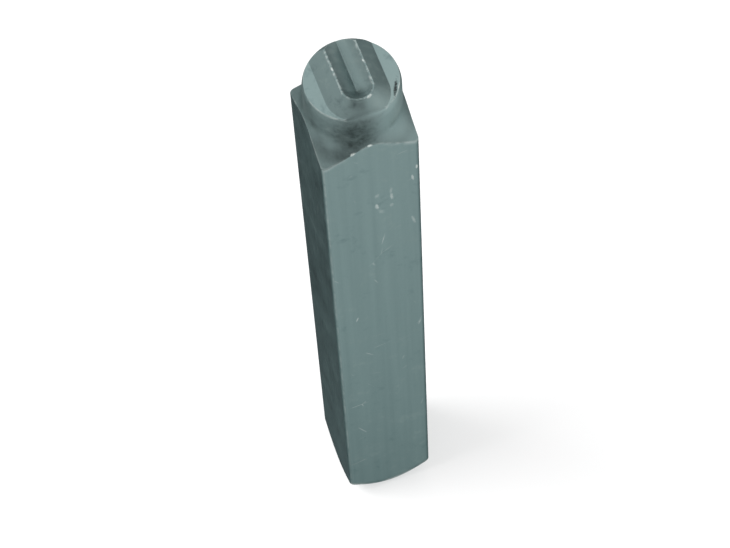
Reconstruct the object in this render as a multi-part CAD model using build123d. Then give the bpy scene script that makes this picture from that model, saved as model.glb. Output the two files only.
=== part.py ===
from build123d import *
import math
import os

# A hand letter punch: one square steel bar with a turned nose and a raised letter on its end.
# It stands on its struck end, with the letter uppermost and the foot of the letter toward -Y.
# All lengths are in millimetres, and every cone angle is in degrees from the axis.

# Square shank
SHANK_WIDTH = 8.0
SHANK_EDGE_RADIUS = 0.4
OVERALL_LENGTH = 65.0

# Struck end, with a turned lead that keeps the hammered rim from spreading
STRUCK_FACE_DIAMETER = 6.8
STRUCK_LEAD_ANGLE = 45.0

# Turned nose, from the letter down: a rounded shoulder, a short neck and a flare into the corners
NECK_DIAMETER = 7.7
NECK_LENGTH = 1.8
SHOULDER_DROP = 0.8
SHOULDER_RADIUS = 2.25
SHOULDER_ANGLE = 50.0
FLARE_RADIUS = 2.5
FLARE_ANGLE = 60.0

# Raised letter, a U, which a mirror leaves unchanged as a punch needs
LETTER_HEIGHT = 5.3
LETTER_WIDTH = 2.65
CREST_WIDTH = 0.15
RELIEF_DEPTH = 1.0
FLANK_ANGLE = 51.0
COUNTER_DEPTH = 0.75
ROOT_RADIUS = 0.12

# Levels along the axis: the crest of the letter, the flat ground round it, and the nose below
CREST_Z = OVERALL_LENGTH
GROUND_Z = CREST_Z - RELIEF_DEPTH
SHOULDER_Z = GROUND_Z - SHOULDER_DROP
FLARE_Z = SHOULDER_Z - NECK_LENGTH

# A radius well outside the bar, at which every cutting profile closes
CUT_REACH = 2 * SHANK_WIDTH

# Plan of the letter along the middle of its crest: two legs and a half-round bow
BOW_RADIUS = (LETTER_WIDTH - CREST_WIDTH) / 2
BOW_CENTRE_Y = (LETTER_WIDTH - LETTER_HEIGHT) / 2


def radial_run(height, angle):
    """How far a cone at this angle from the axis spreads over a height."""
    return height * math.tan(math.radians(angle))


def axial_rise(run, angle):
    """How far a cone at this angle from the axis climbs over a radial run."""
    return run / math.tan(math.radians(angle))


def square_bar():
    """The drawn square bar, with its four long edges eased."""
    return extrude(RectangleRounded(SHANK_WIDTH, SHANK_WIDTH, SHANK_EDGE_RADIUS), OVERALL_LENGTH)


def turned_envelope():
    """All that the lathe leaves: shoulder, neck and flare at the letter end, and the struck lead."""
    neck_radius = NECK_DIAMETER / 2
    struck_radius = STRUCK_FACE_DIAMETER / 2
    shoulder = JernArc((neck_radius, SHOULDER_Z), (0, 1), SHOULDER_RADIUS, SHOULDER_ANGLE)
    flare = JernArc((neck_radius, FLARE_Z), (0, -1), FLARE_RADIUS, FLARE_ANGLE)
    tip = shoulder @ 1
    flare_end = flare @ 1
    outline = Curve() + [
        Line((0, tip.Y + axial_rise(tip.X, SHOULDER_ANGLE)), tip),
        shoulder,
        Line(shoulder @ 0, flare @ 0),
        flare,
        Polyline(
            flare_end,
            (CUT_REACH, flare_end.Y - axial_rise(CUT_REACH - flare_end.X, FLARE_ANGLE)),
            (CUT_REACH, axial_rise(CUT_REACH - struck_radius, STRUCK_LEAD_ANGLE)),
            (struck_radius, 0),
            (0, 0),
            (0, tip.Y + axial_rise(tip.X, SHOULDER_ANGLE)),
        ),
    ]
    return revolve(Plane.XZ * make_face(outline), Axis.Z)


def letter_section():
    """Section across both legs: outer flanks, thin crests, the V counter between, and the ground."""
    crest_inside = BOW_RADIUS - CREST_WIDTH / 2
    crest_outside = BOW_RADIUS + CREST_WIDTH / 2
    flank_foot = crest_outside + radial_run(RELIEF_DEPTH, FLANK_ANGLE)
    counter_root = (0, CREST_Z - COUNTER_DEPTH)
    right_half = [
        (crest_inside, CREST_Z),
        (crest_outside, CREST_Z),
        (flank_foot, GROUND_Z),
        (CUT_REACH, GROUND_Z),
        (CUT_REACH, 0),
    ]
    left_half = [(-x, z) for x, z in reversed(right_half)]
    section = make_face(Polyline(counter_root, *right_half, *left_half, close=True))
    roots = [counter_root, (flank_foot, GROUND_Z), (-flank_foot, GROUND_Z)]
    root_corners = [
        corner
        for corner in section.vertices()
        if any((corner.center() - Vector(*root)).length < ROOT_RADIUS / 10 for root in roots)
    ]
    return fillet(root_corners, ROOT_RADIUS)


def letter_block():
    """A block whose whole upper surface is the letter, its flanks and the flat ground around it."""
    section = letter_section()
    right_half = Pos(CUT_REACH / 2, OVERALL_LENGTH / 2) * Rectangle(CUT_REACH, OVERALL_LENGTH)
    across_bow_centre = Plane.XZ.offset(-BOW_CENTRE_Y)
    legs = extrude(across_bow_centre * section, CUT_REACH, dir=(0, 1, 0))
    bow_axis = Axis((0, BOW_CENTRE_Y, 0), (0, 0, -1))
    bow = revolve(across_bow_centre * (section & right_half), bow_axis, revolution_arc=180)
    return legs + bow


def letter_punch():
    """The finished punch: what the bar, the lathe and the letter die all leave."""
    return square_bar() & turned_envelope() & letter_block()


os.makedirs("parts", exist_ok=True)
punch = letter_punch()
export_step(punch, "parts/letter_punch.step")
print("letter_punch volume", round(punch.volume, 1), "mm3")
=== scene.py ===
import math
from functools import partial

import bmesh
import bpy
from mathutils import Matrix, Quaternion, Vector


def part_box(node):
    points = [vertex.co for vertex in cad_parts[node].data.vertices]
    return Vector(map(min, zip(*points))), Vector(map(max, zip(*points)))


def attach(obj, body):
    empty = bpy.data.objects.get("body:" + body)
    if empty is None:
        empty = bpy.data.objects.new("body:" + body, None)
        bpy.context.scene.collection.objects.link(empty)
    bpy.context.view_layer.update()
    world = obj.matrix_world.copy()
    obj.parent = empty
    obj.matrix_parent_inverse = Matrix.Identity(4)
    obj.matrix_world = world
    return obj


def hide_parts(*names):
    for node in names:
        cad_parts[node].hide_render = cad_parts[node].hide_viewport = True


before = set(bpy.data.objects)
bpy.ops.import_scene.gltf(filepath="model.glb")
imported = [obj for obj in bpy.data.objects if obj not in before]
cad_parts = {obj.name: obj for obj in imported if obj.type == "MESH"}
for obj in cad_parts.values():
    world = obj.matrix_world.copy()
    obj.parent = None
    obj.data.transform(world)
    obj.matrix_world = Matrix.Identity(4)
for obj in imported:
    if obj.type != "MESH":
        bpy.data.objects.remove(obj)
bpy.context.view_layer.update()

bl_info = {
    "name": "Letter punch",
    "version": (1, 0, 0),
    "blender": (4, 5, 0),
    "location": "3D View > Sidebar > Punch",
    "description": "Makes a blackened steel letter punch and the stage it stands on",
    "category": "Object",
}

# The model's own box, before anything is added to it
PUNCH_NODE = "letter_punch"
LOWEST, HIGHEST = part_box(PUNCH_NODE)

MM = 0.001
DEGREE = math.pi / 180
TURN = 2 * math.pi
HALF = 0.5
WHITE = (1, 1, 1, 1)

# Faces of the punch mesh go to these material slots
SHANK, NOSE, LETTER, STRUCK = range(4)

# Fineness of the mesh
RIM_SAMPLES = 1440
WIDEST_COLUMN = 1.2 * DEGREE
CORNER_COLUMNS = 8
FACE_STEP = 0.11 * MM
BOW_RAYS = 72
EASE_STEPS = 4
ARC_STEPS = 48
NOSE_ROWS = 40
SHANK_ROWS = 48
LEAD_ROWS = 6
STRUCK_RINGS = 4

# Trimming of the sheet: vertices this near its edge move onto it, one this near a column's place takes
# it, gaps smaller than these count as none, and a crossing is found by halving this often
SETTLE_WITHIN = 0.012 * MM
COLUMN_SPARE = 0.25 * DEGREE
ON_EDGE = 1e-8
TINY = 1e-9
HALVINGS = 40

# The rim lies outside this share of the neck's radius. It is eased more within an angle of the front,
# and most within this share of that angle
RIM_FROM = 0.3
BOW_SPREAD = 30 * DEGREE
BOW_WHOLE = 0.25

# Wear of the turned rim, the arcs on the flats, the long edges, and the struck end's lead and face
RIM_WEAR, ARC_WEAR, LONG_EDGE_WEAR, LEAD_WEAR, FACE_WEAR = 0.5, 0.4, 0.5, 1.0, 0.8

# The rim's wear fades between these multiples of the easing elsewhere, and a long edge's begins and
# is whole at these shares of its radius
RIM_WEAR_FADE = (1.5, 4.0)
LONG_EDGE_BAND = (0.4, 0.75)

# How far wear reaches onto the flats from the turned edges, and down from the crest
WORN_BAND = 0.4 * MM
CREST_BAND = 0.05 * MM

# How much less the crest is worn round the bow than along the legs, and the share of black painted on
# the crest, and on its bow besides, as painted shade that dims their reflection
BOW_REST = 0.6
PAINTED_CREST_SHADE = 0.15
PAINTED_BOW_SHADE = 0.2

# How dark the turned nose is all round, and soft patches on the nose and letter: middle and spread in mm,
# and the share of black they add, or of thin pale finish below 0. Most patches are painted shade, or
# painted light below 0, and a few are tone in the finish
NOSE_COVER = 0.40
TONE_AND_PAINTED_SHADING = (
    ((-1.15, -3.65, 61.5), 1.8, 0.72),
    ((-0.60, -3.40, 63.3), 1.5, 0.28),
    ((-0.75, -2.72, 64.80), 0.4, 0.42),
    ((-0.15, -2.95, 64.75), 0.4, 0.42),
    ((0.18, -1.50, 64.38), 0.4, 0.40),
    ((1.04, -3.04, 64.5), 0.6, -0.5),
    ((2.60, -2.90, 62.5), 2.1, -0.60),
    ((2.85, -2.60, 61.8), 0.5, -0.8),
    ((2.15, -3.18, 61.6), 0.5, -0.7),
    ((3.60, -3.50, 59.3), 1.2, -0.3),
    ((-3.70, -1.30, 61.6), 0.5, 0.4),
    ((-3.20, -2.20, 60.4), 0.6, 0.25),
    ((-3.10, -2.90, 60.6), 0.9, -0.27),
    ((0.90, 3.70, 61.6), 1.6, 0.5),
)

# Painted shade: the share of black along the counter's root, which dims the bright line of its rounding,
# and up its walls toward their crests
PAINTED_ROOT_SHADE = 0.35
PAINTED_WALL_SHADE = 0.25

# Where these shades begin and are whole: below the ground, near the root and out from the middle
COVER_BAND = (-0.2 * MM, 0.25 * MM)
ROOT_BAND = (0.12 * MM, 0.04 * MM)
WALL_BAND = (0.45 * MM, 1.0 * MM)

# Marks of making and use, in mm: middle, direction, half length, half width and strength
PITS = (
    ((2.87, -1.92, 63.98), (0.40, 0.91, 0.0), 0.76, 0.12, 1.0),
)
LETTER_FLECKS = (
    ((-1.25, 0.74, 65.0), (0.0, 1.0, 0.0), 0.16, 0.09, 1.0),
    ((1.22, 0.68, 65.0), (0.0, 1.0, 0.0), 0.14, 0.08, 1.0),
    ((-1.25, -0.85, 65.0), (0.0, 1.0, 0.0), 0.40, 0.07, 0.3),
    ((1.25, 2.25, 65.0), (0.0, 1.0, 0.0), 0.50, 0.07, 0.3),
    ((0.58, -2.55, 65.0), (0.90, 0.43, 0.0), 0.26, 0.11, 1.0),
)
RIM_FLECKS = (
    ((3.18, -1.88, 64.0), (0.45, 0.89, 0.0), 0.35, 0.06, 0.9),
)
ARC_FLECKS = (
    ((-1.45, -4.0, 60.0), (1.0, 0.0, 0.5), 0.22, 0.15, 1.0),
    ((-0.05, -4.0, 60.5), (1.0, 0.0, 0.2), 0.21, 0.14, 1.0),
)
SHANK_FLECKS = (
    ((3.68, -4.0, 55.4), (0.0, 0.0, 1.0), 0.30, 0.10, 0.9),
    ((3.30, -4.0, 54.0), (-0.1, 0.0, 1.0), 0.40, 0.10, 0.6),
    ((3.25, -4.0, 47.6), (-0.2, 0.0, 1.0), 0.60, 0.12, 0.35),
    ((0.24, -4.0, 51.3), (-0.2, 0.0, 1.0), 0.40, 0.14, 0.6),
    ((0.27, -4.0, 52.9), (0.3, 0.0, 1.0), 0.26, 0.20, 0.25),
    ((0.58, -4.0, 50.4), (-0.6, 0.0, 1.0), 0.34, 0.20, 0.2),
    ((1.50, -4.0, 52.2), (-0.1, 0.0, 1.0), 0.46, 0.13, 0.5),
    ((1.46, -4.0, 53.1), (0.1, 0.0, 1.0), 0.40, 0.12, 0.25),
    ((1.46, -4.0, 50.9), (0.2, 0.0, 1.0), 0.24, 0.18, 0.25),
    ((-2.10, -4.0, 34.0), (0.3, 0.0, 1.0), 0.30, 0.06, 0.7),
    ((4.0, 1.20, 44.0), (0.0, 0.4, 1.0), 0.40, 0.10, 0.5),
    ((-4.0, -1.60, 50.0), (0.0, 0.5, 1.0), 0.36, 0.10, 0.5),
    ((1.80, 4.0, 40.0), (0.6, 0.0, 1.0), 0.36, 0.10, 0.5),
)

# Scales of the finish's noise, in cells a metre
BROAD_TONE, CLOUDS, SPECKS, GRIT = 260.0, 1300.0, 2600.0, 5200.0
WIDE_GRAIN, FINE_GRAIN = 1700.0, 9000.0
SCRATCH_CELLS, SCRATCH_GAPS, RAGGED_EDGES = 160.0, 420.0, 6000.0

# Worn spots on the edges, and the finer ones on the crests: cells a metre, and how much is left out
EDGE_BEADS, EDGE_GAPS = 900.0, 0.36
CREST_BEADS, CREST_GAPS = 2400.0, 0.47

# How much the grain is drawn out, how far apart the lathe's rings are, and how each set of scratches
# is turned and drawn out
GRAIN_STRETCH = 0.02
RING_PITCH = 0.12 * MM
SCRATCH_SETS = (
    ((0.4, 0.28, 0.16), 0.09),
    ((-0.9, -0.63, -0.36), 0.12),
    ((1.35, 0.945, 0.54), 0.06),
)

# Where an effect begins and is whole, by the noise or distance that it follows
DARK_TONES, THIN_TONES = (0.42, 0.20), (0.56, 0.85)
WORN_WHOLE = 0.62
STREAKS = (0.3, 0.7)
SCRATCH_LINE, SCRATCH_PARTS = (0.006, 0.0), (0.60, 0.72)
MARK_EDGE = (1.5, 0.1)

# Changes that follow noise, as its range and what they give: a mark's outline, and the share of the
# nose's black by tone and by speck
RAGGED = (0.3, 0.7, -0.6, 0.6)
MOTTLED = (0.70, 0.30, 0.75, 1.08)
SPECKLED = (0.36, 0.64, 1.08, 0.90)

# How roughness goes down and up over a range of tone, up where the nose is dull and down where bare,
# and the share of dark streaks in the grain
ROUGH_TONES, SMOOTHER, ROUGHER = (0.25, 0.75), 0.06, 0.08
DULL_ROUGHER, BARE_SMOOTHER = 0.1, 0.1
STREAK_SHARE = 0.25

# Relief of the finish: the bump's strength and its depth in metres, and shares of that depth
BUMP_STRENGTH, BUMP_DEPTH = 0.5, 0.03 * MM
GRIT_DEPTH, SCRATCH_DEPTH, FLECK_HEIGHT, PIT_DEPTH = 0.5, 0.8, 0.5, 3.0

# How the studio looks in the steel, where 1 is white: the sky at the horizon and at its full height,
# the share of it that is left in front, and the floor in front, behind and far out to the left
SKY_LOW, SKY_HIGH, FRONT_SHARE = 0.5, 1.3, 0.5
FLOOR_FRONT, FLOOR_BACK, FLOOR_LEFT = 1.18, 0.5, 1.1

# Where those begin and are whole: the sky and the cards by how high a ray points, the front by how
# far it points back, and the floor in metres
SKY_RISE, CARD_DROP, FRONT_TURN = (0.0, 0.85), (0.45, 0.0), (-0.15, -0.9)
FLOOR_DEPTH, FLOOR_SIDE = (-0.02, 0.03), (-0.04, -0.09)

# The share of white that the floor shows round the punch, and where, in metres, that rises to 1
FLOOR_WHITE, FLOOR_FADE = 0.5, (0.12, 0.45)

# Where the two soft boxes stand, and how far the floor reaches, in metres
KEY_PLACE = Vector((-0.30, 0.10, 0.45))
FILL_PLACE = Vector((0.35, -0.40, 0.35))
FLOOR_REACH = 3.0

# Grey screens and low white cards: the way each one lies, how nearly a ray points that way where it
# begins and where it is whole, and the share that it leaves or adds
SCREENS = (
    ((0.84, 0.54, 0.0), 0.50, 0.95, 0.72),
    ((-0.91, -0.41, 0.0), 0.45, 0.85, 0.72),
)
CARDS = (
    ((0.00, 1.00, 0.0), 0.60, 0.95, 0.3),
    ((0.77, -0.64, 0.0), 0.72, 0.98, 1.0),
    ((0.30, -0.95, 0.0), 0.75, 0.97, 0.6),
)

# The camera's sensor in mm, and the nearest that it sees in metres
SENSOR_WIDTH = 36
NEAREST_SEEN = 0.01


def number(name, description, default, **settings):
    """A property that is one number."""
    return bpy.props.FloatProperty(name=name, description=description, default=default, **settings)


def colour(name, description, default):
    """A linear colour property."""
    return bpy.props.FloatVectorProperty(
        name=name, description=description, default=default, min=0, max=1, size=3, subtype="COLOR",
    )


# Lengths in metres, angles, shares from 0 to 1, a lamp's watts, and a lens in mm
length = partial(number, min=0, precision=5, unit="LENGTH", subtype="DISTANCE")
angle = partial(number, subtype="ANGLE")
fraction = partial(number, min=0, max=1, subtype="FACTOR")
power = partial(number, min=0, unit="POWER")
focal_length = partial(number, min=1, unit="CAMERA")


class PunchSizes(bpy.types.PropertyGroup):
    """Sizes of the punch, the same as the solid's."""

    shank_width: length("Shank width", "Across the flats of the square bar", HIGHEST[0] - LOWEST[0])
    overall_length: length("Overall length", "From struck end to letter crest", HIGHEST[2] - LOWEST[2])
    edge_radius: length("Edge radius", "Easing of the four long edges", 0.4 * MM)
    struck_diameter: length("Struck face", "Diameter of the flat that is hammered", 6.8 * MM)
    struck_angle: angle("Struck lead", "Half angle of the turned lead at the struck end", 45 * DEGREE)
    neck_diameter: length("Neck diameter", "Diameter of the turned neck", 7.7 * MM)
    neck_length: length("Neck length", "Straight part of the neck", 1.8 * MM)
    shoulder_drop: length("Shoulder drop", "From the ground level down to the neck", 0.8 * MM)
    shoulder_radius: length("Shoulder radius", "Radius of the rounded shoulder", 2.25 * MM)
    shoulder_angle: angle("Shoulder angle", "Where the shoulder turns into a cone", 50 * DEGREE)
    flare_radius: length("Flare radius", "Radius that runs the neck out into the shank", 2.5 * MM)
    flare_angle: angle("Flare angle", "Where the flare turns into a cone", 60 * DEGREE)
    letter_height: length("Letter height", "Height of the letter over its crests", 5.3 * MM)
    letter_width: length("Letter width", "Width of the letter over its crests", 2.65 * MM)
    crest_width: length("Crest width", "Flat land along the top of the letter", 0.15 * MM)
    relief_depth: length("Relief depth", "Crest above the ground round the letter", 1.0 * MM)
    flank_angle: angle("Flank angle", "Slope of the outer flank from the axis", 51 * DEGREE)
    counter_depth: length("Counter depth", "Crest above the root between the legs", 0.75 * MM)
    counter_ease: length("Counter easing", "Rounding of the root between the legs", 0.12 * MM)
    root_ease: length("Root easing", "Rounding where a flank meets the ground", 0.05 * MM)
    crest_ease: length("Crest easing", "Rounding of the crest's two edges", 0.03 * MM)
    rim_ease: length("Rim easing", "Rounding of the turned and ground edges", 0.045 * MM)
    bow_blend: length("Bow blend", "Rounding where the bow's flank runs into the nose", 0.75 * MM)


class PunchFinish(bpy.types.PropertyGroup):
    """Colours of the blackened steel."""

    oxide: colour("Oxide", "The blackened surface", (0.215, 0.290, 0.288))
    oxide_dark: colour("Dark oxide", "Where the finish is thicker", (0.150, 0.208, 0.210))
    # Thin oxide is also the colour of painted light on the nose and letter
    oxide_light: colour("Thin oxide", "Where the finish is thin", (0.270, 0.348, 0.338))
    grazing: colour("Grazing tint", "How much of the light it sends back edge on", (0.05, 0.07, 0.08))
    bare: colour("Bare steel", "Worn edges, nicks and scratches", (0.56, 0.62, 0.60))
    # The nose's black is also the colour of painted shade on the nose and letter
    nose: colour("Nose", "The dull black of the turned nose", (0.042, 0.057, 0.056))
    nose_grazing: colour("Nose grazing tint", "The same for the nose, which stays paler", (0.55, 0.62, 0.62))
    # The pit colour is laid dark into each pit, whose hollow is only a bump in the finish
    pit: colour("Pit", "Dirt in the bottom of a pit", (0.045, 0.055, 0.055))
    floor: colour("Floor", "Colour of the floor", (0.86, 0.86, 0.86))
    roughness: fraction("Roughness", "Roughness of the satin finish", 0.40)


class PunchLight(bpy.types.PropertyGroup):
    """How the stage is lit."""

    key_power: power("Key power", "The soft box behind and to the left", 3.0)
    key_size: length("Key size", "Side of that soft box", 300 * MM)
    fill_power: power("Fill power", "The soft box in front and to the right", 1.0)
    fill_size: length("Fill size", "Side of that soft box", 400 * MM)
    ambient: fraction("Ambient", "The world's even light on dull surfaces", 0.75)


class PunchView(bpy.types.PropertyGroup):
    """Where the main camera stands, seen from the letter end."""

    azimuth: angle("Azimuth", "Round the punch from its front flat, toward +X", -16 * DEGREE)
    elevation: angle("Elevation", "Above the horizon", 56 * DEGREE)
    roll: angle("Roll", "Lean of the picture", 4 * DEGREE)
    distance: length("Distance", "From the letter end to the camera", 200 * MM)
    aim_height: length("Aim height", "Height of the point in the middle of the picture", 34 * MM)
    lens: focal_length("Lens", "Focal length on a 36 mm wide sensor", 130)


def smooth(low, high, value):
    """0 at low and beyond it, 1 at high and beyond it, and an even S between them."""
    share = min(max((value - low) / (high - low), 0), 1)
    return share * share * (3 - 2 * share)


def rounded(start, corner, end, steps=EASE_STEPS):
    """Points on a curve that leaves start toward a corner, and bends away from it gently toward end."""
    shares = [k / steps for k in range(steps + 1)]
    return [(1 - s) ** 3 * start + 3 * s * (1 - s) * corner + s ** 3 * end for s in shares]


def eased(before, corner, after, reach):
    """Points that round one corner of a path, from reach before it to reach after it."""
    start = corner + (before - corner).normalized() * reach
    end = corner + (after - corner).normalized() * reach
    return rounded(start, corner, end)


def evenly(start, end, step):
    """Points between two ends, without them, no further apart than step."""
    count = max(1, math.ceil((end - start).length / step))
    return [start.lerp(end, k / count) for k in range(1, count)]


def resample(path, count):
    """The same path with count even steps."""
    lengths = [0.0]
    for one, other in zip(path, path[1:]):
        lengths.append(lengths[-1] + (other - one).length)
    points = []
    place = 0
    for k in range(count + 1):
        target = lengths[-1] * k / count
        while place < len(path) - 2 and lengths[place + 1] < target:
            place += 1
        span = lengths[place + 1] - lengths[place]
        points.append(path[place].lerp(path[place + 1], (target - lengths[place]) / span))
    return points


def along(table, value):
    """Looks up value in a rising table of (value, result), with straight lines between its rows."""
    low, high = 0, len(table) - 1
    while high - low > 1:
        middle = (low + high) // 2
        if table[middle][0] <= value:
            low = middle
        else:
            high = middle
    (x0, y0), (x1, y1) = table[low], table[high]
    share = min(max((value - x0) / (x1 - x0), 0), 1)
    return y0 + (y1 - y0) * share


def crossing(low, high, is_before):
    """The value between low and high at which is_before turns false, found by halving."""
    for _ in range(HALVINGS):
        middle = (low + high) / 2
        if is_before(middle):
            low = middle
        else:
            high = middle
    return (low + high) / 2


def bearing(place):
    """The direction of a place round the axis."""
    return math.atan2(place.y, place.x)


class PunchForm:
    """The surfaces of the punch, worked out from its sizes."""

    def __init__(self, sizes):
        self.sizes = sizes
        self.half_width = sizes.shank_width / 2
        self.crest_z = sizes.overall_length
        self.ground_z = self.crest_z - sizes.relief_depth
        self.shoulder_z = self.ground_z - sizes.shoulder_drop
        self.flare_z = self.shoulder_z - sizes.neck_length
        self.neck_radius = sizes.neck_diameter / 2
        self.bow_radius = (sizes.letter_width - sizes.crest_width) / 2
        self.bow_y = (sizes.letter_width - sizes.letter_height) / 2
        self.section = self.letter_section()
        self.profile = self.turned_profile()
        self.above_neck = [(r, z) for r, z in self.profile if z >= self.shoulder_z]
        self.below_neck = [(r, z) for r, z in self.profile if z <= self.flare_z]
        self.rim = [self.solve_rim(TURN * k / RIM_SAMPLES) for k in range(RIM_SAMPLES)]

    def letter_section(self):
        """Half section of the letter as points (distance out from the counter's root, height)."""
        sizes = self.sizes
        inside = self.bow_radius - sizes.crest_width / 2
        outside = self.bow_radius + sizes.crest_width / 2
        foot = outside + sizes.relief_depth * math.tan(sizes.flank_angle)
        corners = [
            (Vector((-inside, self.crest_z)), 0),
            (Vector((0, self.crest_z - sizes.counter_depth)), sizes.counter_ease),
            (Vector((inside, self.crest_z)), sizes.crest_ease),
            (Vector((outside, self.crest_z)), sizes.crest_ease),
            (Vector((foot, self.ground_z)), sizes.root_ease),
            (Vector((self.half_width, self.ground_z)), 0),
        ]
        points = []
        for (before, _), (corner, ease), (after, _) in zip(corners, corners[1:], corners[2:]):
            rounding = eased(before, corner, after, ease)
            if points:
                points += evenly(points[-1], rounding[0], FACE_STEP)
            points += rounding
        points += evenly(points[-1], corners[-1][0], FACE_STEP) + [corners[-1][0]]
        return [(0.0, points[EASE_STEPS // 2].y)] + [(p.x, p.y) for p in points if p.x > TINY]

    def from_root(self, x, y):
        """How far a place lies from the root of the counter, which ends at the bow's centre."""
        return abs(x) if y >= self.bow_y else math.hypot(x, y - self.bow_y)

    def letter_height(self, x, y):
        """Height of the letter's surface, with no lathe work."""
        return along(self.section, self.from_root(x, y))

    def turned_profile(self):
        """The turned outline from the tip down to the corners, as points (radius, height)."""
        sizes = self.sizes
        centre = self.neck_radius - sizes.shoulder_radius
        shoulder = []
        flare = []
        for k in range(ARC_STEPS + 1):
            turn = sizes.shoulder_angle * (1 - k / ARC_STEPS)
            radius = centre + sizes.shoulder_radius * math.cos(turn)
            shoulder.append((radius, self.shoulder_z + sizes.shoulder_radius * math.sin(turn)))
            turn = sizes.flare_angle * k / ARC_STEPS
            radius = self.neck_radius + sizes.flare_radius * (1 - math.cos(turn))
            flare.append((radius, self.flare_z - sizes.flare_radius * math.sin(turn)))
        inward = shoulder[0][0] / 2
        cone = [(inward, shoulder[0][1] + inward / math.tan(sizes.shoulder_angle))]
        run = sizes.shank_width
        out = [(flare[-1][0] + run, flare[-1][1] - run / math.tan(sizes.flare_angle))]
        return cone + shoulder + flare + out

    def solve_rim(self, turn):
        """Radius at which the letter's surface runs out through the turned one, in one direction."""
        def inside(radius):
            letter = self.letter_height(radius * math.cos(turn), radius * math.sin(turn))
            return letter < along(self.above_neck, radius)

        return crossing(RIM_FROM * self.neck_radius, self.neck_radius, inside)

    def rim_width(self, turn):
        """Easing of the rim, which is wide where the bow's flank runs out into the nose."""
        from_front = abs(math.remainder(turn + math.pi / 2, TURN))
        blend = smooth(BOW_SPREAD, BOW_WHOLE * BOW_SPREAD, from_front)
        return self.sizes.rim_ease + (self.sizes.bow_blend - self.sizes.rim_ease) * blend

    def rim_radius(self, turn):
        """Radius of the rim in any direction."""
        place = (turn % TURN) / TURN * RIM_SAMPLES
        first = int(place) % RIM_SAMPLES
        share = place - int(place)
        return self.rim[first] * (1 - share) + self.rim[(first + 1) % RIM_SAMPLES] * share

    def bar_radius(self, turn):
        """Radius of the square bar with eased edges, in any direction."""
        across, along_flat = sorted((abs(math.cos(turn)), abs(math.sin(turn))), reverse=True)
        radius = self.half_width / across
        centre = self.half_width - self.sizes.edge_radius
        if radius * along_flat <= centre:
            return radius
        dot = centre * (across + along_flat)
        return dot + math.sqrt(dot * dot - 2 * centre * centre + self.sizes.edge_radius ** 2)


def top_sheet(mesh, form):
    """The letter, its flanks and the ground, as strips that follow the legs and the bow."""
    half = form.section
    full = [(-t, z) for t, z in reversed(half[1:])] + list(half)
    middle = len(half) - 1
    stations = math.ceil((form.half_width - form.bow_y) / FACE_STEP)
    step = (form.half_width - form.bow_y) / stations
    legs = []
    for j in range(stations + 1):
        legs.append([mesh.verts.new((t, form.bow_y + j * step, z)) for t, z in full])
    rays = [legs[0][middle:]]
    for k in range(1, BOW_RAYS):
        turn = math.pi * k / BOW_RAYS
        across, back = math.cos(turn), math.sin(turn)
        ray = [mesh.verts.new((t * across, form.bow_y - t * back, z)) for t, z in half[1:]]
        rays.append([legs[0][middle]] + ray)
    rays.append(list(reversed(legs[0][:middle + 1])))
    for near, far in zip(legs, legs[1:]):
        for i in range(len(full) - 1):
            mesh.faces.new((near[i], near[i + 1], far[i + 1], far[i]))
    for one, other in zip(rays, rays[1:]):
        mesh.faces.new((one[0], other[1], one[1]))
        for i in range(1, len(half) - 1):
            mesh.faces.new((one[i], other[i], other[i + 1], one[i + 1]))


def trim_to_rim(mesh, form):
    """Cuts the top sheet back to just inside the rim."""
    def beyond(point):
        turn = bearing(point)
        return math.hypot(point.x, point.y) - form.rim_radius(turn) + form.rim_width(turn)

    for vertex in mesh.verts:
        if abs(beyond(vertex.co)) < SETTLE_WITHIN:
            settle_on_edge(vertex, form, bearing(vertex.co))
    for edge in list(mesh.edges):
        one, other = edge.verts
        a, b = beyond(one.co), beyond(other.co)
        if a * b < 0 and min(abs(a), abs(b)) > TINY:
            share = crossing(0.0, 1.0, lambda s: beyond(one.co.lerp(other.co, s)) * a > 0)
            bmesh.utils.edge_split(edge, one, share)
    for face in list(mesh.faces):
        places = [beyond(v.co) for v in face.verts]
        cut = [v for v, place in zip(face.verts, places) if abs(place) < ON_EDGE]
        if min(places) < -ON_EDGE and max(places) > ON_EDGE and len(cut) == 2:
            bmesh.utils.face_split(face, cut[0], cut[1])
    outside = [f for f in mesh.faces if max(beyond(v.co) for v in f.verts) > ON_EDGE]
    bmesh.ops.delete(mesh, geom=outside, context="FACES")
    loose = [v for v in mesh.verts if not v.link_faces]
    bmesh.ops.delete(mesh, geom=loose, context="VERTS")


def settle_on_edge(vertex, form, turn):
    """Puts a vertex on the trimmed edge of the top sheet, in one direction."""
    radius = form.rim_radius(turn) - form.rim_width(turn)
    x, y = radius * math.cos(turn), radius * math.sin(turn)
    vertex.co = (x, y, form.letter_height(x, y))


def edge_loop(mesh):
    """The boundary vertices of the sheet, sorted round the axis."""
    rim = {v for e in mesh.edges if e.is_boundary for v in e.verts}
    return sorted(rim, key=lambda v: bearing(v.co) % TURN)


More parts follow.
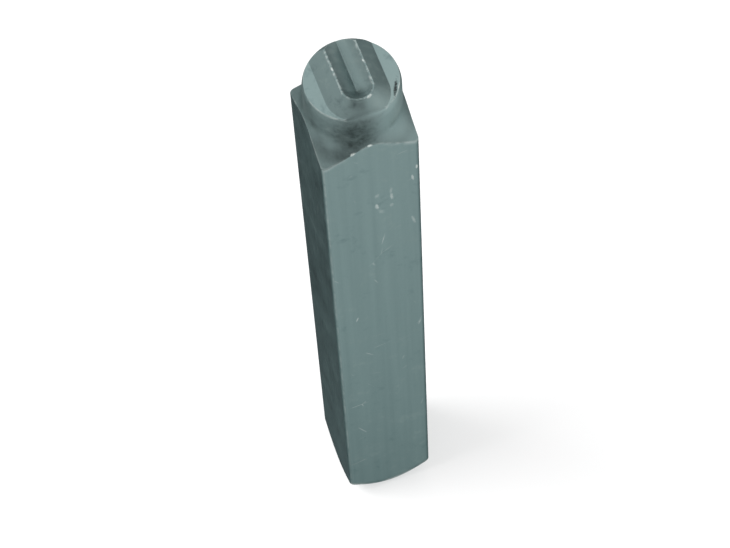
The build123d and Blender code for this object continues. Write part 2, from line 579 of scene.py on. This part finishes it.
def add_columns(mesh, form):
    """Splits the sheet's edge so that columns fall on the eased corners of the bar and none is wide."""
    start = math.atan2(form.half_width - form.sizes.edge_radius, form.half_width)
    wanted = []
    for corner in range(4):
        for k in range(CORNER_COLUMNS + 1):
            turn = start + (math.pi / 2 - 2 * start) * k / CORNER_COLUMNS
            wanted.append((turn + corner * math.pi / 2) % TURN)
    for turn in wanted:
        loop = edge_loop(mesh)
        turns = [bearing(v.co) % TURN for v in loop]
        gaps = [abs((t - turn + math.pi) % TURN - math.pi) for t in turns]
        nearest = min(range(len(loop)), key=gaps.__getitem__)
        if gaps[nearest] < COLUMN_SPARE:
            settle_on_edge(loop[nearest], form, turn)
            continue
        after = next((i for i, t in enumerate(turns) if t > turn), 0)
        split_between(mesh, form, loop[after - 1], loop[after], turn)
    loop = edge_loop(mesh)
    for one, other in zip(loop, loop[1:] + loop[:1]):
        first = bearing(one.co)
        gap = (bearing(other.co) - first) % TURN
        pieces = math.ceil(gap / WIDEST_COLUMN)
        for k in range(1, pieces):
            one = split_between(mesh, form, one, other, first + gap * k / pieces)


def split_between(mesh, form, one, other, turn):
    """A new vertex on the sheet's edge between two of its vertices."""
    edge = next(e for e in one.link_edges if e.other_vert(one) is other)
    _, vertex = bmesh.utils.edge_split(edge, one, HALF)
    settle_on_edge(vertex, form, turn)
    return vertex


def column_points(form, top):
    """Points down one column, from the sheet's edge to the struck face, with their slot and wear."""
    sizes = form.sizes
    ease = sizes.rim_ease
    turn = bearing(top)
    rim = form.rim_radius(turn)
    bar = form.bar_radius(turn)
    width = form.rim_width(turn)
    rim_point = Vector((rim, along(form.above_neck, rim)))
    top_point = Vector((math.hypot(top.x, top.y), top.z))
    corner = Vector((bar, along(form.below_neck, bar)))
    path = [Vector(p) for p in form.profile if rim_point.y > p[1] + width and p[1] - ease > corner.y]
    below_rim = rim_point + (path[0] - rim_point).normalized() * width
    above_corner = corner + (path[-1] - corner).normalized() * ease
    path = [below_rim] + path + [above_corner]
    rim_easing = rounded(top_point, rim_point, below_rim, 2 * EASE_STEPS)
    rim_wear = RIM_WEAR * (1 - smooth(RIM_WEAR_FADE[0] * ease, RIM_WEAR_FADE[1] * ease, width))
    rows = [(p, NOSE, rim_wear) for p in rim_easing[1:]]
    rows += [(p, NOSE, 0.0) for p in resample(path, NOSE_ROWS)[1:-1]]
    foot = Vector((sizes.struck_diameter / 2, 0))
    lead_corner = Vector((bar, (bar - sizes.struck_diameter / 2) / math.tan(sizes.struck_angle)))
    rows += [(p, NOSE, ARC_WEAR) for p in eased(above_corner, corner, lead_corner, ease)]
    shank_start = rows[-1][0]
    lead_easing = eased(corner, lead_corner, foot, ease)
    near_edge = WORN_BAND / (lead_easing[0] - shank_start).length
    for k in range(SHANK_ROWS + 1):
        share = near_edge + (1 - 2 * near_edge) * k / SHANK_ROWS
        rows.append((shank_start.lerp(lead_easing[0], share), SHANK, 0.0))
    rows += [(p, STRUCK, LEAD_WEAR) for p in lead_easing]
    foot_easing = eased(lead_corner, foot, Vector((0, 0)), ease)
    for k in range(1, LEAD_ROWS):
        rows.append((lead_easing[-1].lerp(foot_easing[0], k / LEAD_ROWS), STRUCK, 0.0))
    rows += [(p, STRUCK, FACE_WEAR) for p in foot_easing]
    rows += [(foot * (1 - k / STRUCK_RINGS), STRUCK, 0.0) for k in range(1, STRUCK_RINGS)]
    across = Vector((math.cos(turn), math.sin(turn)))
    return [((across.x * p.x, across.y * p.x, p.y), slot, wear) for p, slot, wear in rows]


def finish_and_painted_shading_at(form, place, cover):
    """How black finish and painted shade make the surface here, or below 0, how pale painted light makes it.
    """
    shade = cover * smooth(*COVER_BAND, form.ground_z - place.z)
    out = form.from_root(place.x, place.y)
    # Painted shade along the counter's root and up its walls
    if out < form.bow_radius and place.z > form.ground_z:
        shade += PAINTED_ROOT_SHADE * smooth(*ROOT_BAND, out)
        shade += PAINTED_WALL_SHADE * smooth(*WALL_BAND, abs(place.x))
    for middle, spread, share in TONE_AND_PAINTED_SHADING:
        away = (place - Vector(middle) * MM).length / (spread * MM)
        shade += share * math.exp(-away * away)
    return min(max(shade, -1), 1)


def punch_mesh(sizes):
    """The whole punch as one closed mesh, with wear, dull finish and painted shade and light on each vertex.
    """
    form = PunchForm(sizes)
    mesh = bmesh.new()
    top_sheet(mesh, form)
    trim_to_rim(mesh, form)
    add_columns(mesh, form)
    wear = mesh.verts.layers.float.new("worn")
    # Dull finish and painted shade per vertex, with painted light below 0
    dull_and_painted_shade = mesh.verts.layers.float.new("dull_and_painted_shade")
    for vertex in mesh.verts:
        crest = smooth(form.crest_z - CREST_BAND, form.crest_z, vertex.co.z)
        round_bow = smooth(form.bow_y, form.bow_y - form.bow_radius, vertex.co.y)
        vertex[wear] = crest * (1 - BOW_REST * round_bow)
        vertex[dull_and_painted_shade] = finish_and_painted_shading_at(form, vertex.co, 0) + crest * (PAINTED_CREST_SHADE + PAINTED_BOW_SHADE * round_bow)
    for face in mesh.faces:
        face.material_index = LETTER
    edge_band = [share * sizes.edge_radius for share in LONG_EDGE_BAND]
    columns = []
    for top in edge_loop(mesh):
        column = [(top, LETTER)]
        for place, slot, worn in column_points(form, top.co):
            vertex = mesh.verts.new(place)
            past_flat = min(abs(place[0]), abs(place[1])) - (form.half_width - sizes.edge_radius)
            vertex[wear] = max(worn, LONG_EDGE_WEAR * smooth(*edge_band, past_flat))
            vertex[dull_and_painted_shade] = finish_and_painted_shading_at(form, vertex.co, NOSE_COVER) if slot == NOSE else 0
            column.append((vertex, slot))
        columns.append(column)
    centre = mesh.verts.new((0, 0, 0))
    for one, other in zip(columns, columns[1:] + columns[:1]):
        for (a, _), (b, slot), (c, _), (d, _) in zip(one, one[1:], other[1:], other):
            mesh.faces.new((a, b, c, d)).material_index = slot
        mesh.faces.new((one[-1][0], centre, other[-1][0])).material_index = STRUCK
    for face in mesh.faces:
        face.smooth = True
    return mesh


def feed(tree, node, inputs):
    """Sets a node's inputs to values, or links them to other nodes' outputs."""
    for name, value in inputs.items():
        socket = node.inputs[name]
        if isinstance(value, bpy.types.NodeSocket):
            tree.links.new(value, socket)
        else:
            socket.default_value = value


def add_node(tree, kind, inputs=None, **settings):
    """A node with its settings and inputs."""
    made = tree.nodes.new(kind)
    for name, value in settings.items():
        setattr(made, name, value)
    feed(tree, made, inputs or {})
    return made


def new_group(name, inputs, outputs):
    """An empty shader group with named sockets, and its two end nodes."""
    group = bpy.data.node_groups.new(name, "ShaderNodeTree")
    for label, kind, default in inputs:
        socket = group.interface.new_socket(label, in_out="INPUT", socket_type=kind)
        socket.default_value = default
    for label, kind in outputs:
        group.interface.new_socket(label, in_out="OUTPUT", socket_type=kind)
    return group, group.nodes.new("NodeGroupInput"), group.nodes.new("NodeGroupOutput")


def place_group(tree, group, inputs):
    """One use of a group in a material, with its own values."""
    return add_node(tree, "ShaderNodeGroup", inputs, node_tree=group)


FLOAT, VECTOR, COLOUR = "NodeSocketFloat", "NodeSocketVector", "NodeSocketColor"


def object_place(tree):
    """The place on the punch, in metres."""
    return add_node(tree, "ShaderNodeTexCoord").outputs["Object"]


def math_node(operation, tree, *values, clamp=False):
    """The result of one sum on values or outputs."""
    made = add_node(tree, "ShaderNodeMath", dict(enumerate(values)), operation=operation, use_clamp=clamp)
    return made.outputs[0]


add, subtract = partial(math_node, "ADD"), partial(math_node, "SUBTRACT")
multiply, divide = partial(math_node, "MULTIPLY"), partial(math_node, "DIVIDE")
larger = partial(math_node, "MAXIMUM")


def vector_math(tree, operation, one, other):
    """The result of one sum on two vectors: a value for a dot product, or else a vector."""
    made = add_node(tree, "ShaderNodeVectorMath", {0: one, 1: other}, operation=operation)
    return made.outputs["Value" if operation == "DOT_PRODUCT" else "Vector"]


def noise(tree, place, scale, detail, roughness=0.5, distortion=0.0):
    """Soft noise at a place, from 0 to 1."""
    inputs = {"Vector": place, "Scale": scale, "Detail": detail, "Roughness": roughness,
              "Distortion": distortion}
    return add_node(tree, "ShaderNodeTexNoise", inputs).outputs[0]


def remap(tree, value, low, high, to_low=0.0, to_high=1.0):
    """A value stretched from one range to another, and held inside it."""
    inputs = {"Value": value, "From Min": low, "From Max": high, "To Min": to_low, "To Max": to_high}
    return add_node(tree, "ShaderNodeMapRange", inputs).outputs["Result"]


def mix_colour(tree, share, one, other):
    """A blend of two colours, whose sockets the Mix node has at these places."""
    return add_node(tree, "ShaderNodeMix", {0: share, 6: one, 7: other}, data_type="RGBA").outputs[2]


def mix_value(tree, share, one, other):
    """A blend of two values."""
    return add(tree, multiply(tree, subtract(tree, other, one), share), one)


def oxide_tone_group():
    """Mottled blackened steel: broad tone, finer cloud and small specks."""
    group, start, end = new_group(
        "Oxide tone",
        [*[(shade, COLOUR, WHITE) for shade in ("Oxide", "Dark", "Thin")], ("Contrast", FLOAT, 1.0)],
        [("Color", COLOUR), ("Tone", FLOAT), ("Speck", FLOAT)],
    )
    place = object_place(group)
    broad = noise(group, place, BROAD_TONE, detail=3.0)
    cloud = noise(group, place, CLOUDS, detail=6.0, roughness=0.62, distortion=0.4)
    tone = add(group, multiply(group, broad, HALF), multiply(group, cloud, HALF))
    spread = multiply(group, subtract(group, tone, HALF), start.outputs["Contrast"])
    level = add(group, spread, HALF, clamp=True)
    dark = remap(group, level, *DARK_TONES)
    darker = mix_colour(group, dark, start.outputs["Oxide"], start.outputs["Dark"])
    both = mix_colour(group, remap(group, level, *THIN_TONES), darker, start.outputs["Thin"])
    specks = noise(group, place, SPECKS, detail=5.0, roughness=0.7)
    feed(group, end, {"Color": both, "Tone": level, "Speck": specks})
    return group


def worn_edge_group():
    """Where edges show bare steel: the mesh's wear value, broken up by noise."""
    group, start, end = new_group(
        "Worn edge",
        [("Amount", FLOAT, 1.0), ("Patch scale", FLOAT, EDGE_BEADS), ("Gaps", FLOAT, EDGE_GAPS)],
        [("Mask", FLOAT)],
    )
    worn = add_node(group, "ShaderNodeAttribute", attribute_name="worn").outputs["Fac"]
    patches = noise(group, object_place(group), start.outputs["Patch scale"], detail=4.0, roughness=0.6)
    broken = remap(group, patches, start.outputs["Gaps"], WORN_WHOLE)
    mask = multiply(group, multiply(group, worn, broken), start.outputs["Amount"], clamp=True)
    feed(group, end, {"Mask": mask})
    return group


def drawn_grain_group():
    """Fine lines along the bar from drawing and grinding, as a height and a light and dark streak."""
    group, start, end = new_group(
        "Drawn grain", [("Stretch", FLOAT, GRAIN_STRETCH)], [("Height", FLOAT), ("Streak", FLOAT)],
    )
    scale = add_node(group, "ShaderNodeCombineXYZ", {"X": 1.0, "Y": 1.0, "Z": start.outputs["Stretch"]})
    stretched = vector_math(group, "MULTIPLY", object_place(group), scale.outputs[0])
    fine = noise(group, stretched, FINE_GRAIN, detail=5.0, roughness=0.65)
    wide = noise(group, stretched, WIDE_GRAIN, detail=3.0)
    feed(group, end, {"Height": fine, "Streak": wide})
    return group


def turning_group():
    """Tool marks of the lathe: fine uneven rings round the axis."""
    group, start, end = new_group("Turning marks", [("Pitch", FLOAT, RING_PITCH)], [("Height", FLOAT)])
    x, y, z = add_node(group, "ShaderNodeSeparateXYZ", {0: object_place(group)}).outputs
    out = math_node("SQRT", group, add(group, multiply(group, x, x), multiply(group, y, y)))
    travel = divide(group, subtract(group, out, z), start.outputs["Pitch"])
    rings = add_node(group, "ShaderNodeTexNoise", {"W": travel, "Scale": 1.0, "Detail": 3.0},
                     noise_dimensions="1D")
    feed(group, end, {"Height": rings.outputs[0]})
    return group


def scratch_group():
    """A few thin scratches and small nicks that show bare steel."""
    group, start, end = new_group(
        "Scratches", [("Density", FLOAT, HALF), ("Scale", FLOAT, SCRATCH_CELLS)], [("Mask", FLOAT)],
    )
    place = object_place(group)
    total = 0.0
    for rotation, stretch in SCRATCH_SETS:
        turned = add_node(group, "ShaderNodeMapping", {"Vector": place, "Rotation": rotation}).outputs[0]
        drawn_out = vector_math(group, "MULTIPLY", turned, (1.0, 1.0, stretch))
        cells = add_node(
            group, "ShaderNodeTexVoronoi",
            {"Vector": drawn_out, "Scale": start.outputs["Scale"], "Randomness": 1.0},
            feature="DISTANCE_TO_EDGE",
        )
        line = remap(group, cells.outputs["Distance"], *SCRATCH_LINE)
        parts = remap(group, noise(group, turned, SCRATCH_GAPS, detail=2.0), *SCRATCH_PARTS)
        total = larger(group, total, multiply(group, line, parts))
    feed(group, end, {"Mask": multiply(group, total, start.outputs["Density"], clamp=True)})
    return group


def mark_group():
    """One small elongated mark with a ragged edge, at a place on the surface."""
    group, start, end = new_group(
        "Mark",
        [("Middle", VECTOR, (0, 0, 0)), ("Direction", VECTOR, (0, 0, 1)), ("Half length", FLOAT, MM),
         ("Half width", FLOAT, MM)],
        [("Mask", FLOAT)],
    )
    place = object_place(group)
    away = vector_math(group, "SUBTRACT", place, start.outputs["Middle"])
    along_it = vector_math(group, "DOT_PRODUCT", away, start.outputs["Direction"])
    squared = multiply(group, along_it, along_it)
    reach = vector_math(group, "DOT_PRODUCT", away, away)
    across = larger(group, subtract(group, reach, squared), 0.0)
    half_length, half_width = start.outputs["Half length"], start.outputs["Half width"]
    lengthways = divide(group, squared, multiply(group, half_length, half_length))
    widthways = divide(group, across, multiply(group, half_width, half_width))
    ragged = remap(group, noise(group, place, RAGGED_EDGES, detail=3.0), *RAGGED)
    total = add(group, add(group, lengthways, widthways), ragged)
    feed(group, end, {"Mask": remap(group, total, *MARK_EDGE)})
    return group


def marks_mask(tree, group, marks):
    """The union of several marks."""
    total = 0.0
    for middle, direction, half_length, half_width, strength in marks:
        mark = place_group(tree, group, {
            "Middle": Vector(middle) * MM, "Direction": Vector(direction).normalized(),
            "Half length": half_length * MM, "Half width": half_width * MM,
        })
        total = larger(tree, total, multiply(tree, mark.outputs["Mask"], strength))
    return total


def steel_material(name, finish, groups, grazing, depth, contrast, wear, beads=EDGE_BEADS, gaps=EDGE_GAPS,
                   grain=0.0, rings=0.0, scratches=0.0, shaded=False, flecks=(), pits=()):
    """Blackened steel with its own share of grain, lathe rings, scratches and worn edges."""
    material = bpy.data.materials.new(name)
    material.use_nodes = True
    tree = material.node_tree
    shades = {"Oxide": finish.oxide, "Dark": finish.oxide_dark, "Thin": finish.oxide_light}
    values = {label: (*[depth * c for c in shade], 1) for label, shade in shades.items()}
    oxide = place_group(tree, groups["tone"], {**values, "Contrast": contrast})
    tone = oxide.outputs["Tone"]
    worn = place_group(tree, groups["worn"], {"Amount": wear, "Patch scale": beads, "Gaps": gaps})
    scratched = place_group(tree, groups["scratches"], {"Density": scratches}).outputs["Mask"]
    base = oxide.outputs["Color"]
    roughness = remap(tree, tone, *ROUGH_TONES, finish.roughness - SMOOTHER, finish.roughness + ROUGHER)
    height = multiply(tree, noise(tree, object_place(tree), GRIT, detail=4.0), GRIT_DEPTH)
    dull_and_painted_shade = 1.0
    # Darker toward the nose's black for dull finish and painted shade, and paler toward thin oxide below 0
    # as painted light
    if shaded:
        shade = add_node(tree, "ShaderNodeAttribute", attribute_name="dull_and_painted_shade").outputs["Fac"]
        dull_and_painted_shade = larger(tree, shade, 0.0)
        base = mix_colour(tree, multiply(tree, shade, -1.0, clamp=True), base, values["Thin"])
        mottled = multiply(tree, dull_and_painted_shade, remap(tree, tone, *MOTTLED))
        specks = remap(tree, oxide.outputs["Speck"], *SPECKLED)
        patchy = multiply(tree, mottled, specks, clamp=True)
        base = mix_colour(tree, patchy, base, (*finish.nose, 1))
        roughness = add(tree, roughness, multiply(tree, dull_and_painted_shade, DULL_ROUGHER))
    if grain:
        drawn = place_group(tree, groups["grain"], {})
        streak = remap(tree, drawn.outputs["Streak"], *STREAKS)
        base = mix_colour(tree, multiply(tree, streak, STREAK_SHARE), base, values["Dark"])
        height = add(tree, height, multiply(tree, drawn.outputs["Height"], grain))
    if rings:
        turned = place_group(tree, groups["rings"], {})
        strength = multiply(tree, dull_and_painted_shade, rings)
        height = add(tree, height, multiply(tree, turned.outputs["Height"], strength))
    raised = marks_mask(tree, groups["mark"], flecks)
    sunk = marks_mask(tree, groups["mark"], pits)
    bare = larger(tree, larger(tree, worn.outputs["Mask"], scratched), raised)
    base = mix_colour(tree, bare, base, (*finish.bare, 1))
    base = mix_colour(tree, sunk, base, (*finish.pit, 1))
    roughness = subtract(tree, roughness, multiply(tree, bare, BARE_SMOOTHER))
    height = subtract(tree, height, multiply(tree, scratched, SCRATCH_DEPTH))
    height = add(tree, height, multiply(tree, raised, FLECK_HEIGHT))
    height = subtract(tree, height, multiply(tree, sunk, PIT_DEPTH))
    relief = {"Height": height, "Strength": BUMP_STRENGTH, "Distance": BUMP_DEPTH}
    feed(tree, tree.nodes["Principled BSDF"], {
        "Base Color": base, "Roughness": roughness, "Metallic": 1.0, "Specular Tint": (*grazing, 1),
        "Normal": add_node(tree, "ShaderNodeBump", relief).outputs[0],
    })
    return material


class PUNCH_OT_make_punch(bpy.types.Operator):
    """Makes the letter punch: shank, turned nose, raised letter and struck end in one piece"""

    bl_idname = "punch.make_punch"
    bl_label = "Letter punch"

    def execute(self, context):
        finish = context.scene.punch_finish
        data = bpy.data.meshes.new("punch_body")
        mesh = punch_mesh(context.scene.punch_sizes)
        mesh.to_mesh(data)
        mesh.free()
        punch = bpy.data.objects.new("punch_body", data)
        context.scene.collection.objects.link(punch)
        groups = {
            "tone": oxide_tone_group(), "worn": worn_edge_group(), "grain": drawn_grain_group(),
            "rings": turning_group(), "scratches": scratch_group(), "mark": mark_group(),
        }
        for material in (
            steel_material(
                "Ground shank", finish, groups, finish.grazing, depth=1.06, contrast=1.2, wear=0.8,
                grain=0.8, scratches=0.6, flecks=SHANK_FLECKS + ARC_FLECKS),
            steel_material(
                "Turned nose", finish, groups, finish.nose_grazing, depth=1.08, contrast=1.3, wear=0.8,
                rings=0.6, shaded=True, flecks=ARC_FLECKS + RIM_FLECKS, pits=PITS),
            steel_material(
                "Pressed letter", finish, groups, finish.grazing, depth=1.08, contrast=2.0, wear=0.45,
                beads=CREST_BEADS, gaps=CREST_GAPS, shaded=True, flecks=LETTER_FLECKS + RIM_FLECKS,
                pits=PITS),
            steel_material(
                "Struck end", finish, groups, finish.grazing, depth=0.9, contrast=1.2, wear=0.7,
                rings=1.0, scratches=0.4),
        ):
            data.materials.append(material)
        keep_flats = punch.modifiers.new("Keep flats flat", "WEIGHTED_NORMAL")
        keep_flats.mode = "FACE_AREA"
        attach(punch, "root")
        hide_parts(PUNCH_NODE)
        return {"FINISHED"}


def add_lamp(name, place, aim, size, power):
    """A square soft box aimed at a point, which lights the floor but doesn't show in the steel."""
    data = bpy.data.lights.new(name, "AREA")
    data.shape = "SQUARE"
    data.size = size
    data.energy = power
    lamp = bpy.data.objects.new(name, data)
    lamp.location = place
    lamp.rotation_mode = "QUATERNION"
    lamp.rotation_quaternion = (aim - place).to_track_quat("-Z", "Y")
    lamp.visible_glossy = False
    bpy.context.scene.collection.objects.link(lamp)


def floor_material(finish):
    """A pale floor that shows nearly white, keeps the shadow, and glows in the steel, brighter in front and
    far left.
    """
    material = bpy.data.materials.new("Pale floor")
    material.use_nodes = True
    tree = material.node_tree
    shader = tree.nodes["Principled BSDF"]
    feed(tree, shader, {"Base Color": (*finish.floor, 1), "Roughness": 1.0, "Specular IOR Level": 0.0})
    place = object_place(tree)
    x, y, _ = add_node(tree, "ShaderNodeSeparateXYZ", {0: place}).outputs
    backward = remap(tree, y, *FLOOR_DEPTH, FLOOR_FRONT, FLOOR_BACK)
    leftward = remap(tree, x, *FLOOR_SIDE, FLOOR_BACK, FLOOR_LEFT)
    path = add_node(tree, "ShaderNodeLightPath")
    in_steel = path.outputs["Is Glossy Ray"]
    strength = mix_value(tree, in_steel, 1.0, larger(tree, backward, leftward))
    glow = add_node(tree, "ShaderNodeEmission", {"Color": WHITE, "Strength": strength})
    distance = add_node(tree, "ShaderNodeVectorMath", {0: place}, operation="LENGTH").outputs["Value"]
    whiter = remap(tree, distance, *FLOOR_FADE, FLOOR_WHITE, 1.0)
    seen = larger(tree, path.outputs["Is Camera Ray"], in_steel)
    shown = larger(tree, seen, path.outputs["Is Transmission Ray"])
    share = larger(tree, multiply(tree, shown, whiter), in_steel)
    both = add_node(tree, "ShaderNodeMixShader", {0: share, 1: shader.outputs[0], 2: glow.outputs[0]})
    feed(tree, tree.nodes["Material Output"], {"Surface": both.outputs[0]})
    return material


def studio_world(light):
    """A soft world, white behind the object and graded from horizon to zenith in the steel."""
    world = bpy.data.worlds.new("Studio")
    world.use_nodes = True
    tree = world.node_tree
    direction = add_node(tree, "ShaderNodeTexCoord").outputs["Generated"]
    _, y, z = add_node(tree, "ShaderNodeSeparateXYZ", {0: direction}).outputs
    sky = remap(tree, z, *SKY_RISE, SKY_LOW, SKY_HIGH)
    in_steel = multiply(tree, sky, remap(tree, y, *FRONT_TURN, 1.0, FRONT_SHARE))
    for aim, begins, whole, share in SCREENS:
        toward = vector_math(tree, "DOT_PRODUCT", direction, aim)
        in_steel = multiply(tree, in_steel, remap(tree, toward, begins, whole, 1.0, share))
    cards = 0.0
    for aim, begins, whole, share in CARDS:
        toward = vector_math(tree, "DOT_PRODUCT", direction, aim)
        cards = larger(tree, cards, remap(tree, toward, begins, whole, 0.0, share))
    in_steel = add(tree, in_steel, multiply(tree, remap(tree, z, *CARD_DROP), cards))
    path = add_node(tree, "ShaderNodeLightPath")
    level = mix_value(tree, path.outputs["Is Glossy Ray"], light.ambient, in_steel)
    level = mix_value(tree, path.outputs["Is Camera Ray"], level, 1.0)
    feed(tree, tree.nodes["Background"], {"Color": WHITE, "Strength": level})
    return world


class PUNCH_OT_make_stage(bpy.types.Operator):
    """Makes the floor, the lamps, the world and the camera"""

    bl_idname = "punch.make_stage"
    bl_label = "Stage"

    def execute(self, context):
        scene = context.scene
        light = scene.punch_light
        view = scene.punch_view
        scene.world = studio_world(light)
        scene.view_settings.view_transform = "Standard"
        floor_data = bpy.data.meshes.new("floor")
        corners = [(x * FLOOR_REACH, y * FLOOR_REACH, 0) for x, y in ((-1, -1), (1, -1), (1, 1), (-1, 1))]
        floor_data.from_pydata(corners, [], [(0, 1, 2, 3)])
        floor_data.materials.append(floor_material(scene.punch_finish))
        floor = bpy.data.objects.new("floor", floor_data)
        scene.collection.objects.link(floor)
        middle = Vector((0, 0, HIGHEST[2] / 2))
        add_lamp("Key", KEY_PLACE, middle, light.key_size, light.key_power)
        add_lamp("Fill", FILL_PLACE, middle, light.fill_size, light.fill_power)
        back = Vector((
            math.sin(view.azimuth) * math.cos(view.elevation),
            -math.cos(view.azimuth) * math.cos(view.elevation),
            math.sin(view.elevation),
        ))
        data = bpy.data.cameras.new("Camera")
        data.sensor_width = SENSOR_WIDTH
        data.lens = view.lens
        data.clip_start = NEAREST_SEEN
        camera = bpy.data.objects.new("Camera", data)
        camera.location = Vector((0, 0, HIGHEST[2])) + back * view.distance
        aim = Vector((0, 0, view.aim_height)) - camera.location
        camera.rotation_mode = "QUATERNION"
        camera.rotation_quaternion = aim.to_track_quat("-Z", "Y") @ Quaternion((0, 0, 1), -view.roll)
        scene.collection.objects.link(camera)
        scene.camera = camera
        return {"FINISHED"}


class VIEW3D_PT_punch(bpy.types.Panel):
    """Lists the punch's operators, sizes, finish, light and view"""

    bl_label = "Letter punch"
    bl_idname = "VIEW3D_PT_punch"
    bl_space_type = "VIEW_3D"
    bl_region_type = "UI"
    bl_category = "Punch"

    def draw(self, context):
        layout = self.layout
        for operator in OPERATORS:
            layout.operator(operator.bl_idname)
        for group_name in PROPERTY_GROUPS:
            group = getattr(context.scene, group_name)
            box = layout.box()
            for name in group.bl_rna.properties.keys():
                if name not in ("rna_type", "name"):
                    box.prop(group, name)


OPERATORS = (PUNCH_OT_make_punch, PUNCH_OT_make_stage)
PROPERTY_GROUPS = {
    "punch_sizes": PunchSizes, "punch_finish": PunchFinish,
    "punch_light": PunchLight, "punch_view": PunchView,
}
CLASSES = (*PROPERTY_GROUPS.values(), *OPERATORS, VIEW3D_PT_punch)


def register():
    """Registers the property groups, operators and panel."""
    for cls in CLASSES:
        bpy.utils.register_class(cls)
    for name, group in PROPERTY_GROUPS.items():
        setattr(bpy.types.Scene, name, bpy.props.PointerProperty(type=group))


def unregister():
    """Takes them away again."""
    for name in PROPERTY_GROUPS:
        delattr(bpy.types.Scene, name)
    for cls in reversed(CLASSES):
        bpy.utils.unregister_class(cls)


def main():
    """Makes everything in order."""
    register()
    bpy.ops.punch.make_punch()
    bpy.ops.punch.make_stage()


if __name__ == "__main__":
    main()
